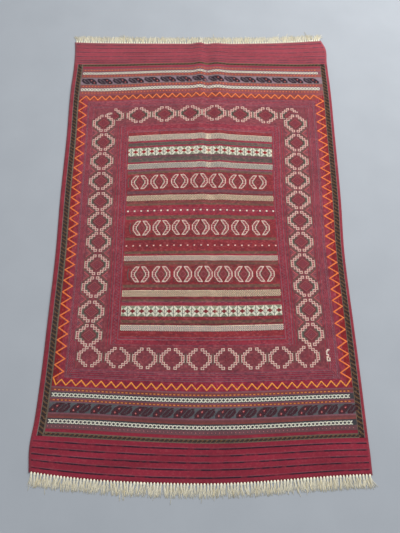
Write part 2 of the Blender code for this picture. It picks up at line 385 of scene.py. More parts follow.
def add_map(made, name, values):
    """A UV map from one pair of numbers for each point."""
    layer = made.data.uv_layers.new(name=name)
    corner = np.empty(len(made.data.loops), np.int32)
    made.data.loops.foreach_get("vertex_index", corner)
    layer.data.foreach_set("uv", values[corner].astype(np.float32).ravel())


# Finishes

def dye(yarn):
    """A yarn's colour as a socket takes it."""
    return (*linear(YARNS[yarn]), 1.0)


def math_node(operation, turned=False):
    """An operator that adds one Math node, with the other value first where turned."""
    def join(self, other):
        pair = (other, self) if turned else (self, other)
        return self.finish.node("ShaderNodeMath", {"operation": operation}, dict(enumerate(pair)))
    return join


class Wire:
    """A socket of a finish, on which sums are written: each one adds its Math node."""

    __add__ = __radd__ = math_node("ADD")
    __sub__ = math_node("SUBTRACT")
    __rsub__ = math_node("SUBTRACT", turned=True)
    __mul__ = __rmul__ = math_node("MULTIPLY")
    __truediv__ = math_node("DIVIDE")
    __mod__ = math_node("FLOORED_MODULO")
    __pow__ = math_node("POWER")
    __gt__ = math_node("GREATER_THAN")
    __lt__ = math_node("LESS_THAN")
    at_most = math_node("MINIMUM")
    at_least = math_node("MAXIMUM")

    def __init__(self, finish, socket):
        self.finish = finish
        self.socket = socket

    def of(self, operation):
        """A Math node of this value alone, such as its sine."""
        return self.finish.node("ShaderNodeMath", {"operation": operation}, {0: self})


class Finish:
    """A material while it is being made."""

    def __init__(self, name, roughness, sheen=0.0):
        self.material = bpy.data.materials.new(name)
        self.material.use_nodes = True
        self.tree = self.material.node_tree
        self.shader = self.tree.nodes["Principled BSDF"]
        self.shader.inputs["Roughness"].default_value = roughness
        self.shader.inputs["Specular IOR Level"].default_value = 0.25
        self.shader.inputs["Sheen Weight"].default_value = sheen
        self.shader.inputs["Sheen Roughness"].default_value = 0.45

    def node(self, kind, settings=None, inputs=None, output=0):
        """Adds one node: its settings first, then the values or links of its sockets."""
        made = self.tree.nodes.new(kind)
        for key, value in (settings or {}).items():
            if key == "stops":
                ramp = made.color_ramp
                ramp.interpolation = "CONSTANT"
                for k, (place, colour) in enumerate(value):
                    stop = ramp.elements[0] if k == 0 else ramp.elements.new(place)
                    stop.position = place
                    stop.color = colour
                if len(ramp.elements) > len(value):
                    ramp.elements.remove(ramp.elements[-1])
            else:
                setattr(made, key, value)
        for key, value in (inputs or {}).items():
            if isinstance(value, Wire):
                self.tree.links.new(value.socket, made.inputs[key])
            else:
                made.inputs[key].default_value = value
        return Wire(self, made.outputs[output])

    def feed(self, socket, wire):
        self.tree.links.new(wire.socket, self.shader.inputs[socket])

    def mix(self, factor, first, second):
        """Two colours mixed: sockets 6 and 7 of a colour Mix node."""
        return self.node("ShaderNodeMix", {"data_type": "RGBA"}, {0: factor, 6: first, 7: second}, output=2)

    def part(self, place, axis):
        """One of the numbers of a place."""
        return self.node("ShaderNodeSeparateXYZ", None, {0: place}, output=axis)

    def position(self):
        """The place in the object's own coordinates."""
        return self.node("ShaderNodeTexCoord", None, None, output=3)

    def noise(self, place, scale, detail):
        """An even noise about 0.5."""
        return self.node("ShaderNodeTexNoise", None, {"Vector": place, "Scale": scale, "Detail": detail})

    def feed_shaded(self, colour, tone):
        """Base Color from a colour times a tone."""
        shade = self.node("ShaderNodeCombineXYZ", None, {0: tone, 1: tone, 2: tone})
        product = self.node("ShaderNodeVectorMath", {"operation": "MULTIPLY"}, {0: colour, 1: shade})
        self.feed("Base Color", product)

    def feed_bump(self, strength, height):
        """Normal from a height in metres."""
        inputs = {"Strength": strength, "Distance": 1.0, "Height": height}
        self.feed("Normal", self.node("ShaderNodeBump", None, inputs))

    def runs(self, along, start, stop, table):
        """The ground's yarn at along, from a table of runs."""
        places = [start, *(end for end, _ in table)]
        stops = [((place - start) / (stop - start), dye(yarn)) for place, (_, yarn) in zip(places, table)]
        return self.node("ShaderNodeValToRGB", {"stops": stops}, {0: (along - start) / (stop - start)})


def cloth_finish():
    """The rug's ground: yarn runs by the loom place, abrash, and the slanted ribs of the wrapped weave."""
    finish = Finish("soumak_ground", 0.92, sheen=0.25)
    loom = finish.node("ShaderNodeUVMap", {"uv_map": "loom"})
    frames = finish.node("ShaderNodeUVMap", {"uv_map": "frames"})
    u, v = finish.part(loom, 0), finish.part(loom, 1)
    side, end = finish.part(frames, 0), finish.part(frames, 1)
    position = finish.position()
    v = v + (finish.noise(position, 9.0, 2.0) - 0.5) * 0.0022
    share = side.at_least(end)
    far_half = v > 1.0

    field = finish.mix(
        v > 0.995, finish.runs(v, 0.49, 0.995, FIELD_NEAR), finish.runs(v, 0.995, 1.45, FIELD_FAR))
    end_border = finish.mix(
        far_half, finish.runs(end, 0.0, 1.5, NEAR_BORDER), finish.runs(end, 0.0, 1.5, FAR_BORDER))
    side_border = finish.runs(side, 0.0, 1.5, SIDE_BORDER)
    border = finish.mix(end > side, side_border, end_border)
    ends = finish.mix(far_half, finish.runs(v, 0.10, 0.32, NEAR_END), finish.runs(v, 1.6, 1.93, FAR_END))
    ground = finish.mix(share < 0.0, border, field)
    ground = finish.mix(end > 1.0, ground, ends)
    inside_ends = (v > BARBER_NEAR[0] - 0.003) * (v < BARBER_FAR[1] + 0.003)
    ground = finish.mix((side > 1.0) * inside_ends, ground, side_border)

    # dark lines across the plain ends, each with a lilac thread beside it
    within = u.of("ABSOLUTE") < HALF_WIDTH - 0.008
    patchy = ((finish.noise(position, 22.0, 2.0) - 0.30) * 5.0).at_most(1.0).at_least(0.55)
    for places, offset, half, yarn, strength in (
        (NEAR_STRIPES, 0.0, 0.0024, "stripe", 1.0),
        (NEAR_STRIPES, 0.0035, 0.0011, "lilac", 0.6),
        (FAR_STRIPES, 0.0, 0.0019, "stripe_far", 0.9),
        (FAR_STRIPES, 0.0032, 0.0011, "lilac", 0.5),
        (FAR_FINE_LINES, 0.0, 0.0009, "maroon", 0.7),
    ):
        lines = [(v - (place + offset)).of("ABSOLUTE") < half for place in places]
        ground = finish.mix(reduce(Wire.at_least, lines) * within * patchy * strength, ground, dye(yarn))

    # fine rows of odd yarn: dashes along the weft, or along the warp in the side borders
    upright = (share > 0.0) * (side > end) * (end < 1.0)
    along = v + (u - v) * (1.0 - upright)
    weft = (u + (v - u) * (1.0 - upright)) / 0.0048
    weft = weft - weft % 1.0
    dashes = finish.node("ShaderNodeCombineXYZ", None, {0: along / 0.013, 1: weft * 7.31, 2: 0.0})
    odd = finish.noise(dashes, 1.0, 1.0)
    busy = 0.35 + 0.65 * (share < 1.0)
    dark = ((odd - 0.52) * 6.0).at_most(1.0).at_least(0.0) * busy
    pale = ((0.46 - odd) * 6.0).at_most(1.0).at_least(0.0) * busy
    ground = finish.mix(dark * 0.55, ground, dye("stripe_far"))
    ground = finish.mix(pale * 0.36, ground, dye("rose"))

    # uneven dye and fibre, and painted sheen: the ground painted lighter towards the far end
    stretch = finish.node("ShaderNodeMapping", None, {"Vector": position, "Scale": (3.0, 30.0, 1.0)})
    abrash = (finish.noise(stretch, 1.0, 3.0) - 0.5) * 0.8
    cloud = (finish.noise(position, 6.0, 3.0) - 0.5) * 0.4
    fibre = finish.noise(position, 420.0, 2.0)
    # 0.97 + v * 0.05 is painted sheen, lighter towards the far end; abrash and cloud are uneven dye
    tone = (0.97 + v * 0.05 + abrash + cloud) * (1.0 + (fibre - 0.5) * 0.5)

    # ribs: v in rows of 2.2 mm, each row's stitches leaning the other way
    row = v / 0.0022
    up = row % 1.0
    hand = ((row - up) % 2.0) * 2.0 - 1.0
    slant = (u / 0.0045 + up * hand * 0.5) % 1.0
    rib = (up * math.pi).of("SINE") * (slant * math.pi).of("SINE").at_least(0.0) ** 0.6
    # the colour follows the ribs: painted shade in the grooves between stitches, lighter on their tops
    finish.feed_shaded(ground, tone * (0.80 + rib * 0.32))
    finish.feed_bump(0.7, rib * 0.0007 + fibre * 0.0002)
    finish.feed("Roughness", 0.88 + fibre * 0.08)
    return finish.material


def yarn_finish(name, roughness, fibre_scale, sheen):
    """Dyed wool or bare cotton: the stitch's own colour, with fibres that darken and roughen it."""
    finish = Finish(name, roughness, sheen=sheen)
    own = finish.node("ShaderNodeAttribute", {"attribute_name": "yarn"})
    position = finish.position()
    fibre = finish.noise(position, fibre_scale, 3.0)
    wear = finish.noise(position, 45.0, 2.0)
    finish.feed_shaded(own, 0.80 + fibre * 0.28 + wear * 0.12)
    finish.feed_bump(0.5, fibre * 0.0004)
    finish.feed("Roughness", roughness - 0.05 + fibre * 0.1)
    return finish.material


def floor_finish():
    """A pale matt floor with a faint mottle."""
    finish = Finish("pale_floor", 0.75)
    low, high = ((*linear(tone), 1.0) for tone in FLOOR_TONES)
    finish.feed("Base Color", finish.mix(finish.noise(finish.position(), 5.0, 4.0), low, high))
    return finish.material


# The woven ground

def build_ground(finish):
    """The cloth: its face over a grid of (u, v), its underside a thickness below, closed round the edge."""
    knots = [-p for p, _ in LEFT_FRAMES[:-1]] + [p for p, _ in RIGHT_FRAMES[:-1]]
    even = np.linspace(-HALF_WIDTH, HALF_WIDTH, CLOTH_COLUMNS + 1)
    us = np.unique(np.round(np.concatenate([even, knots]), 4))
    knots = [p for p, _ in NEAR_FRAMES] + [p for p, _ in FAR_FRAMES]
    even = np.linspace(0, CLOTH_LENGTH, CLOTH_ROWS + 1)
    vs = np.unique(np.round(np.concatenate([even, knots]), 4))
    u, v = np.meshgrid(us, vs)
    face = on_cloth(u, v)
    face[..., 2] += PUCKER * np.sin(160 * u + 3 * np.sin(21 * v)) * np.sin(190 * v + 2 * np.sin(17 * u))
    under = face.copy()
    under[..., 2] = lift(u / HALF_WIDTH, v)
    # the rim turns down: the face's points along both selvedges are lowered a little towards the underside
    rim = np.zeros(u.shape, bool)
    rim[:, 0] = rim[:, -1] = True
    face[rim, 2] -= RIM_TURN
    rows, columns = u.shape
    index = np.arange(rows * columns).reshape(rows, columns)
    top = grid_faces(index)
    low = index + rows * columns
    bottom = np.stack([low[:-1, :-1], low[1:, :-1], low[1:, 1:], low[:-1, 1:]], -1).reshape(-1, 4)
    near = np.stack([low[0, :-1], low[0, 1:], index[0, 1:], index[0, :-1]], -1)
    far = np.stack([low[-1, 1:], low[-1, :-1], index[-1, :-1], index[-1, 1:]], -1)
    left = np.stack([low[1:, 0], low[:-1, 0], index[:-1, 0], index[1:, 0]], -1)
    right = np.stack([low[:-1, -1], low[1:, -1], index[1:, -1], index[:-1, -1]], -1)
    faces = np.concatenate([top, bottom, near, far, left, right])
    points = np.concatenate([face.reshape(-1, 3), under.reshape(-1, 3)])
    cloth = add_mesh("soumak_cloth", points, faces.ravel(), np.full(len(faces), 4), finish)
    loom = np.stack([u, v], -1).reshape(-1, 2)
    side = np.where(
        u > 0,
        np.interp(u, *np.array(RIGHT_FRAMES).T) - (u < RIGHT_FRAMES[0][0]),
        np.interp(-u, *np.array(LEFT_FRAMES).T) - (-u < LEFT_FRAMES[0][0]),
    )
    near_share = np.interp(v, *np.array(NEAR_FRAMES[::-1]).T) - (v > NEAR_FRAMES[0][0])
    far_share = np.interp(v, *np.array(FAR_FRAMES).T) - (v < FAR_FRAMES[0][0])
    end = np.maximum(near_share, far_share)
    frames = np.stack([side, end], -1).reshape(-1, 2)
    add_map(cloth, "loom", np.concatenate([loom, loom]))
    add_map(cloth, "frames", np.concatenate([frames, frames]))
    flat = loom * (0.70, 0.50) + (0.43, 0.015)
    strip = loom * (0.08, 0.50) + (0.93, 0.015)
    add_map(cloth, "OFBake", np.concatenate([flat, strip]))
    return cloth


# Wrapped stitches

class Basket:
    """Stitches laid out for one piece: their places, sizes, yarns and leans."""

    def __init__(self):
        self.lots = []

    def lay(self, u, v, width, height, yarn, lean=None):
        """Adds stitches: arrays of places, with sizes, a yarn name for each and a lean across."""
        u, v, width, height = (np.array(a, float) for a in np.broadcast_arrays(u, v, width, height))
        yarns = np.broadcast_to(np.array(yarn, dtype=object), u.shape).ravel()
        u, v, width, height = (a.ravel() for a in (u, v, width, height))
        if lean is None:
            lean = np.where(np.round(v / np.median(height)) % 2 == 0, STITCH_LEAN, -STITCH_LEAN)
        lean = np.broadcast_to(lean, u.shape)
        self.lots.append((u, v, width, height, yarns, lean))

    def chart(self, chart, centres_u, centres_v, cell_width, cell_height, reach=HALF_WIDTH):
        """Repeats a chart of letters at each centre, a stitch for each cell within reach of the middle warp."""
        rows, columns = np.nonzero(chart != ".")
        yarns = np.array([LETTERS[letter] for letter in chart[rows, columns]], dtype=object)
        across = (columns - (chart.shape[1] - 1) / 2) * cell_width
        along = ((chart.shape[0] - 1) / 2 - rows) * cell_height
        centres_u, centres_v = np.broadcast_arrays(np.atleast_1d(centres_u), np.atleast_1d(centres_v))
        u = centres_u[:, None] + across
        v = centres_v[:, None] + along
        kept = np.abs(u) <= reach
        self.lay(u[kept], v[kept], cell_width, cell_height, np.broadcast_to(yarns, u.shape)[kept])

    def sew(self, name, finish):
        """One mesh of closed lozenges: a leaning base of four corners and a ridge of two points."""
        u, v, width, height, yarns, lean = (np.concatenate(lot) for lot in zip(*self.lots))
        count = len(u)
        across = np.array((-0.5, 0.5, 0.5, -0.5, -STITCH_RIDGE, STITCH_RIDGE))
        along = np.array((-0.5, -0.5, 0.5, 0.5, 0.0, 0.0))
        up = np.array((0.0, 0.0, 0.0, 0.0, 1.0, 1.0))
        wide = width * (1 + draw.normal(0, SPREAD_OF_WIDTH, count)) * STITCH_OVERLAP
        point_u = u[:, None] + wide[:, None] * across + (lean * width)[:, None] * along * 2
        point_v = v[:, None] + height[:, None] * along * STITCH_OVERLAP
        points = on_cloth(np.clip(point_u, -STITCH_REACH, STITCH_REACH), point_v)
        rise = STITCH_RISE * (1 + draw.normal(0, SPREAD_OF_RISE, count))
        points[..., 2] += rise[:, None] * up - STITCH_SINK * (1 - up)
        faces = np.array((0, 1, 5, 4, 2, 3, 4, 5, 3, 2, 1, 0, 1, 2, 5, 3, 0, 4))
        corners = (np.arange(count)[:, None] * 6 + faces).ravel()
        sides = np.tile((4, 4, 4, 3, 3), count)
        smooth = np.tile((True, True, False, True, True), count)
        made = add_mesh(name, points.reshape(-1, 3), corners, sides, finish, smooth)
        palette = {yarn: linear(YARNS[yarn]) for yarn in set(yarns)}
        colours = np.array([palette[yarn] for yarn in yarns])
        colours = colours * (1 + draw.normal(0, SPREAD_OF_SHADE, (count, 1)))
        colours = colours * (1 + draw.normal(0, SPREAD_OF_TINT, (count, 3)))
        # painted sheen: each stitch painted lighter towards the far end and the right side
        colours = np.clip(colours * painted_sheen_at(u, v)[:, None], 0, 1)
        colour_points(made, np.repeat(colours, 6, axis=0))
        return made


def painted_sheen_at(u, v):
    """Painted sheen: how much lighter the wool is painted, a little more towards the far end and the right
    side.
    """
    return 1.0 + 0.10 * v / CLOTH_LENGTH + 0.05 * u / HALF_WIDTH


def letters(*rows):
    """A chart from rows of letters, the far row first."""
    return np.array([list(row) for row in rows])


def inset(band):
    """The cells of a band whose four neighbours all lie in it."""
    padded = np.pad(band, 1)
    return band & padded[:-2, 1:-1] & padded[2:, 1:-1] & padded[1:-1, :-2] & padded[1:-1, 2:]


def ring_chart(near=False):
    """A border ring: nine ivory boxes up each side, five cells wide, a red cross in each, round a lozenge.

    The boxes stand 16 cells out and four rows apart, and those beyond the second come in along a slope.
    """
    i, j = np.meshgrid(np.arange(-21, 22), np.arange(18, -19, -1))
    away = np.abs(i)
    reach = away + np.abs(j)
    spread = 21 if near else 20
    edge = np.minimum(18, spread + 1 - np.abs(j)) - 4
    inside = away < edge
    chart = np.full(i.shape, ".")
    chart[(away == 19) & (np.abs(j) <= 9)] = "e"
    if near:
        chart[inside & (away >= edge - 2) & (np.abs(j) <= 4)] = "b"
        chart[inside & ((reach == 3) | (i == 0) & (reach < 5))] = "D"
    else:
        chart[inside & (away >= edge - 3) & (np.abs(j) <= 8)] = "g"
        chart[inside & (reach <= 11)] = "a"
        chart[inside & (reach <= 8)] = "D"
        chart[inside & (reach == 9)] = "R"
        chart[inside & (reach == 5)] = "m"
        chart[inside & (reach <= 1)] = "m"
    rows = np.arange(-16, 17, 4)[:, None, None]
    beside = np.abs(away - np.minimum(16, spread - np.abs(rows)))
    above = np.abs(j - rows)
    band = ((beside <= 2) & (above <= 2)).any(0)
    chart[band] = "i"
    chart[inset(band)] = "p"
    chart[(beside + above <= 1).any(0)] = "D"
    return chart


def field_ring_chart():
    """A field ring: two slanting brackets, a pale outline two cells thick round red, and a lozenge within."""
    i, j = np.meshgrid(np.arange(-18, 19), np.arange(15, -16, -1))
    away = np.abs(i)
    outer = np.minimum(17, np.round(20.5 - 0.75 * np.abs(j)))
    inner = np.minimum(10, np.round(11.5 - 0.64 * np.abs(j)))
    reach = away + np.abs(j)
    chart = np.full(i.shape, ".")
    chart[(away == outer + 3) & (np.abs(j) >= 8)] = "b"
    chart[(away == outer + 6) & (np.abs(j) >= 11)] = "G"
    inside = away < inner
    chart[inside & (reach >= 11) & (np.abs(j) <= 5)] = "e"
    chart[inside & (reach == 9)] = "b"
    chart[inside & (reach <= 8)] = "D"
    chart[inside & (reach == 6)] = "R"
    chart[inside & (reach == 3)] = "b"
    band = (away <= outer) & (away >= inner)
    chart[band] = "w"
    chart[band & ((i + 2 * j) % 3 == 0)] = "p"
    chart[inset(inset(band))] = "D"
    chart[inset(inset(band)) & (j % 4 == 0)] = "p"
    chart[(away < inner) & (away >= inner - 2) & (j == 0)] = "G"
    return chart


# Cells of the ring charts, across and along
SIDE_CELL = (0.00272, 0.0024)
NEAR_CELL = (0.00253, 0.00215)
FAR_CELL = (0.00290, 0.0022)
FIELD_CELL = (0.00212, 0.00216)
FIELD_REACH = 0.313
STAR_REACH = 0.3145
LATTICE_START = -0.3135
LATTICE_COLUMNS = 358
LATTICE_PITCH = 0.00176
LATTICE_ROW = 0.0034

# Outer tips of the side zigzags: number and v
LEFT_TIPS = ((0, 0.338), (8, 0.7331), (13, 0.9603), (25, 1.5593), (26, 1.608))
RIGHT_TIPS = ((0, 0.338), (6, 0.6193), (12, 0.9031), (18, 1.1861), (24, 1.4768), (27, 1.604))

# The middles of the rings, u and v
LEFT_RINGS = (
    (-0.434, 1.4916), (-0.430, 1.3921), (-0.432, 1.2931), (-0.431, 1.1917), (-0.428, 1.0907),
    (-0.426, 0.9959), (-0.426, 0.9029), (-0.426, 0.8012), (-0.4295, 0.7055), (-0.433, 0.6036),
    (-0.435, 0.5077),
)
RIGHT_RINGS = (
    (0.426, 1.4886), (0.426, 1.3905), (0.423, 1.2924), (0.422, 1.1943), (0.421, 1.0961), (0.421, 0.9980),
    (0.421, 0.8999), (0.420, 0.8018), (0.423, 0.7037), (0.425, 0.6055), (0.425, 0.5074),
)
NEAR_RINGS = tuple((u, 0.424) for u in (
    -0.4252, -0.3183, -0.2154, -0.1121, -0.0099, 0.0935, 0.1965, 0.2992, 0.4038))
FAR_RINGS = tuple((u, 1.5255) for u in (-0.2761, -0.1612, -0.0462, 0.063, 0.1786, 0.2929))
# Each row of field rings: v, and the u of each ring
FIELD_RINGS = (
    (1.178, (-0.262, -0.178, -0.089, -0.004, 0.075, 0.163, 0.251)),
    (0.961, (-0.248, -0.164, -0.083, 0.001, 0.082, 0.1675, 0.255)),
    (0.758, (-0.2475, -0.1625, -0.074, 0.010, 0.090, 0.173, 0.261)),
)


def build_side_rings(finish):
    """The rings of both side borders, with chevrons between them."""
    rings = Basket()
    for run in (LEFT_RINGS, RIGHT_RINGS):
        u, v = np.array(run).T
        rings.chart(ring_chart(), u, v, *SIDE_CELL)
        between = v[:-1] + np.diff(v) / 2
        middle = u[:-1] + np.diff(u) / 2
        for hand in (-1, 1):
            for k, yarn in enumerate(("green", "madder", "rose", "madder", "mauve")):
                step = np.arange(k - 5, 6 - k)[:, None]
                reach = 0.0185 + 0.0055 * k + 0.0053 * np.abs(step)
                rings.lay(middle + hand * reach, between + step * 0.0048, 0.0053, 0.0048, yarn)
    return rings.sew("side_rings", finish)


def build_end_rings(finish):
    """The rings across both ends of the border, the far corners' part rings and the near corner's hook."""
    rings = Basket()
    u, v = np.array(NEAR_RINGS).T
    rings.chart(ring_chart(near=True), u, v, *NEAR_CELL)
    u, v = np.array(FAR_RINGS).T
    far = ring_chart()
    rings.chart(far, u, v, *FAR_CELL)
    i, j = np.meshgrid(np.arange(-21, 22), np.arange(18, -19, -1))
    rings.chart(np.where((i >= 1) & (j >= -10), far, "."), -0.392, 1.5255, 0.0026, 0.0022)
    rings.chart(np.where((i <= -1) & (j >= -6) | (j >= 9), far, "."), 0.4045, 1.5255, 0.0025, 0.0022)
    arch = letters("..iiiiii", "iiiDDpDi", "iDDpiiii", "iiiii...")
    rings.chart(arch, -0.4100, 1.5400, 0.0030, 0.0026)
    hook = letters("..ii", ".ii.", ".i..", ".i..", ".ii.", "..p.", ".ii.", ".i.i", ".i.i", ".iii")
    rings.chart(hook, 0.4820, 0.4270, 0.0048, 0.0046)
    return rings.sew("end_rings", finish)


def build_field_rings(finish):
    """Three rows of seven rings across the field, each row with a short hook at its left end."""
    rings = Basket()
    chart = field_ring_chart()
    v = np.arange(-9, 10)
    for row, us in FIELD_RINGS:
        rings.chart(chart, np.array(us), row, *FIELD_CELL, reach=FIELD_REACH)
        bow = us[0] - 0.050 + 0.004 * (v / 9.0) ** 2
        rings.lay(bow, row + v * 0.0026, 0.0034, 0.0028, "flint")
    return rings.sew("field_rings", finish)


def build_stars(finish):
    """Two bands of white stars: red middles, slanting green lines, and upright bars between them."""
    stars = Basket()
    i, j = np.meshgrid(np.arange(-8, 9), np.arange(9, -10, -1))
    away, up = np.abs(i), np.abs(j)
    chart = np.full(i.shape, "w")
    slant = up - np.round(away * 1.15).astype(int)
    chart[slant >= 4] = "h"
    chart[(slant >= 3) & ((i + j) % 2 == 0) & (up >= 5)] = "G"
    chart[(slant == -4) & (away >= 5)] = "g"
    chart[(up == 0) & (away >= 5)] = "w"
    chart[3 * up + 2 * away <= 11] = "q"
    chart[i == 8] = "G"
    dark = np.where((chart == "q") & (i % 2 == 0), "M", chart)
    for form, v, first, pitch, count, height in (
        (chart, 1.3308, 0.0005, 0.03544, 19, 0.00217),
        (dark, 0.6065, 0.0162, 0.0359, 18, 0.00220),
    ):
        across = first + pitch * np.arange(-9, count - 9)
        stars.chart(form, across, v, pitch / 17, height, reach=STAR_REACH)
    return stars.sew("star_bands", finish)


# Each pale band: the v of both edges, its own yarn, its dots' yarn and a warmer one beside them
LATTICE_BANDS = (
    (0.5282, 0.5492, "pearl", "flint", "pink"),
    (0.6662, 0.6897, "beige", "tan", "rose"),
    (0.8155, 0.8362, "pearl", "tan", "rose"),
    (1.0872, 1.1115, "beige", "tan", "rose"),
    (1.2434, 1.2690, "pearl", "ash", "flint"),
    (1.3884, 1.4155, "ivory", "ash", "sand"),
)


def build_lattices(finish):
    """Six pale bands across the field: rows of dark dots two stitches wide, each row set half way on."""
    bands = Basket()
    for low, high, pale, dark, warm in LATTICE_BANDS:
        rows = int(round((high - low) / LATTICE_ROW))
        i, j = np.meshgrid(np.arange(LATTICE_COLUMNS), np.arange(rows))
        height = (high - low) / rows
        dot = (i + 2 * j) % 4
        yarn = np.full(i.shape, pale, dtype=object)
        yarn[dot == 0] = dark
        yarn[(dot == 1) & (j % 2 == 0)] = dark
        yarn[(dot == 1) & (j % 2 == 1)] = warm
        u = LATTICE_START + (i + 0.5) * LATTICE_PITCH
        bands.lay(u, low + (j + 0.5) * height, LATTICE_PITCH, height, yarn)
    return bands.sew("lattice_bands", finish)


def build_dots(finish):
    """Rows of small pale knots in the plain bands of the field."""
    dots = Basket()
    across = 0.0018 + 0.0282 * np.arange(-11, 12)
    dots.chart(letters("ww", "ww"), across, 1.0397, 0.0036, 0.0034)
    dots.chart(letters("R.R"), across + 0.01425, 1.0397, 0.0034, 0.0030)
    dots.chart(letters("pp", "ii"), across, 0.882, 0.0032, 0.0030)
    return dots.sew("field_dots", finish)


def zigzag(phase):
    """A triangle wave from -1 to 1: 1 less four times the distance of the phase's fraction from a half."""
    return 1 - 4 * np.abs((phase % 1.0) - 0.5)


def zigzag_tips(inner, outer, tips):
    """The tips of one side's zigzag, outer and inner in turn, from a table of tip numbers and their v."""
    number, place = np.array(tips).T
    half = np.arange(0, 2 * number[-1] + 1) / 2
    return np.stack([np.where(half % 1 == 0, outer, inner), np.interp(half, number, place)], 1)


def build_zigzags(finish):
    """The orange zigzag frame and the fine zigzag of the inner guard.

    The frame is one closed line through its tips, with stitches at even steps of its length.
    """
    lines = Basket()
    half = np.arange(-29, 30)
    near = np.stack([half * 0.01865, np.where(half % 2 == 0, 0.3325, 0.3115)], 1)
    half = np.arange(-30, 29)
    far = np.stack([0.016 + half * 0.01795, np.where(half % 2 == 0, 1.6360, 1.6150)], 1)
    left = zigzag_tips(-0.5180, -0.5535, LEFT_TIPS)
    right = zigzag_tips(0.5255, 0.5625, RIGHT_TIPS)
    tips = np.concatenate([near, right, far[::-1], left[::-1], near[:1]])
    gone = np.concatenate([[0], np.cumsum(np.hypot(*np.diff(tips, axis=0).T))])
    step = np.arange(0, gone[-1], 0.0026)
    u, v = np.interp(step, gone, tips[:, 0]), np.interp(step, gone, tips[:, 1])
    side = (v > 0.337) & (v < 1.609)
    yarn = np.where(v < 0.337, "yellow", "orange").astype(object)
    lines.lay(u, v, np.where(side, 0.0066, 0.0040), np.where(side, 0.0030, 0.0044), yarn, 0.0)
    v = np.arange(0.47, 1.475, 0.0024)
    for hand in (-1, 1):
        wave = zigzag(v / 0.0125)
        lines.lay(hand * (0.3355 + 0.0055 * wave), v, 0.0034, 0.0026, "mauve", 0.0)
    v = np.arange(0.345, 1.605, 0.0058)
    step = np.arange(len(v))
    for low, hand in ((0.4885, -1), (0.4945, 1)):
        for k, yarn in enumerate(("lilac", "mauve", "lilac")):
            lines.lay(hand * (low + 0.0075 * k + 0.0025 * (step % 2)), v, 0.0036, 0.0030, yarn)
    return lines.sew("zigzag_frames", finish)


def build_barber(finish):
    """The outermost guard: slanting blocks of black and drab wool up both sides and across both ends."""
    guard = Basket()
    for low, high, hand in ((0.5620, 0.5795, -1), (0.5685, 0.5870, 1)):
        across = low + (np.arange(4) + 0.5) * (high - low) / 4
        v = np.arange(0.1355, 1.806, 0.0028)
        u, v = np.meshgrid(across, v)
        phase = (v / 0.0175 + hand * (u - low) / 0.024) % 1.0
        yarn = np.where(phase < 0.66, "black", "drab").astype(object)
        guard.lay(hand * u, v, (high - low) / 4, 0.0029, yarn)
    for low, high in (BARBER_NEAR, BARBER_FAR):
        v = low + (np.arange(3) + 0.5) * (high - low) / 3
        u, v = np.meshgrid(np.arange(-0.556, 0.5665, 0.0042), v)
        phase = (u / 0.0168 - (v - low) / 0.014) % 1.0
        yarn = np.where(phase < 0.62, "black", "drab").astype(object)
        guard.lay(u, v, 0.0042, (high - low) / 3, yarn)
    return guard.sew("barber_guard", finish)


def build_end_bands(finish):
    """The narrow bands across both ends: pale lattices, dashes, dots and hooked figures."""
    bands = Basket()
    near_lattice = letters("ww.ww", ".www.", "..w..", ".www.", "ww.ww")
    far_lattice = letters(".www.", "wwnww", "wn.nw", "wwnww", ".www.")
    across = 0.0147 * np.arange(-37, 38)
    for form, v, height in (
        (near_lattice, 0.1825, 0.0027), (near_lattice, 0.2760, 0.0027),
        (far_lattice, 1.6708, 0.0030), (far_lattice, 1.7605, 0.0024),
    ):
        bands.chart(form, -0.0005 + across, v, 0.0029, height)
    for v in (0.2575, 0.2943):
        bands.chart(letters("yyy", "yyy"), 0.0028 + across, v, 0.0025, 0.0016)
    bands.chart(letters("R"), -0.5500 + 0.0143 * np.arange(78), 0.1655, 0.0032, 0.0028)
    for v in (1.6530, 1.6885, 1.7455, 1.7772):
        bands.chart(letters("o", "o"), 0.005 + 0.0144 * np.arange(-38, 38), v, 0.0040, 0.0022)
    hooks = letters(
        "........WWWWWWWWWWW...WWWW",
        "......WWWWWWWWWWWW.WWWWWW.",
        "....WWWWWWqWWWWW.WWWWW.WWW",
        "...WWWWWqpqWWWW.WWWWW.WWWW",
        "..WWWWWWWqWWWW.WWWWW.WWWWW",
        ".WWWWWWWWWWWW.WWWWW.WWWWW.",
        "WWWWqWWWWWWW.WWWWW.WWWWW..",
        "WWWqpqWWWWW.WWWW.WWWWWW...",
        "WWWWqWWWW..WWWWWWWWWW.....",
        "WWWWWWWWW...WWWWWWW.......",
    )
    bands.chart(hooks, -0.516 + 0.0754 * np.arange(15), 0.2312, 0.0029, 0.0034)
    far_hooks = np.where(hooks == "W", "V", hooks)[:, ::-1]
    bands.chart(far_hooks, -0.516 + 0.0736 * np.arange(15), 1.7167, 0.0028, 0.0031)
    return bands.sew("end_bands", finish)


# The warp fringe

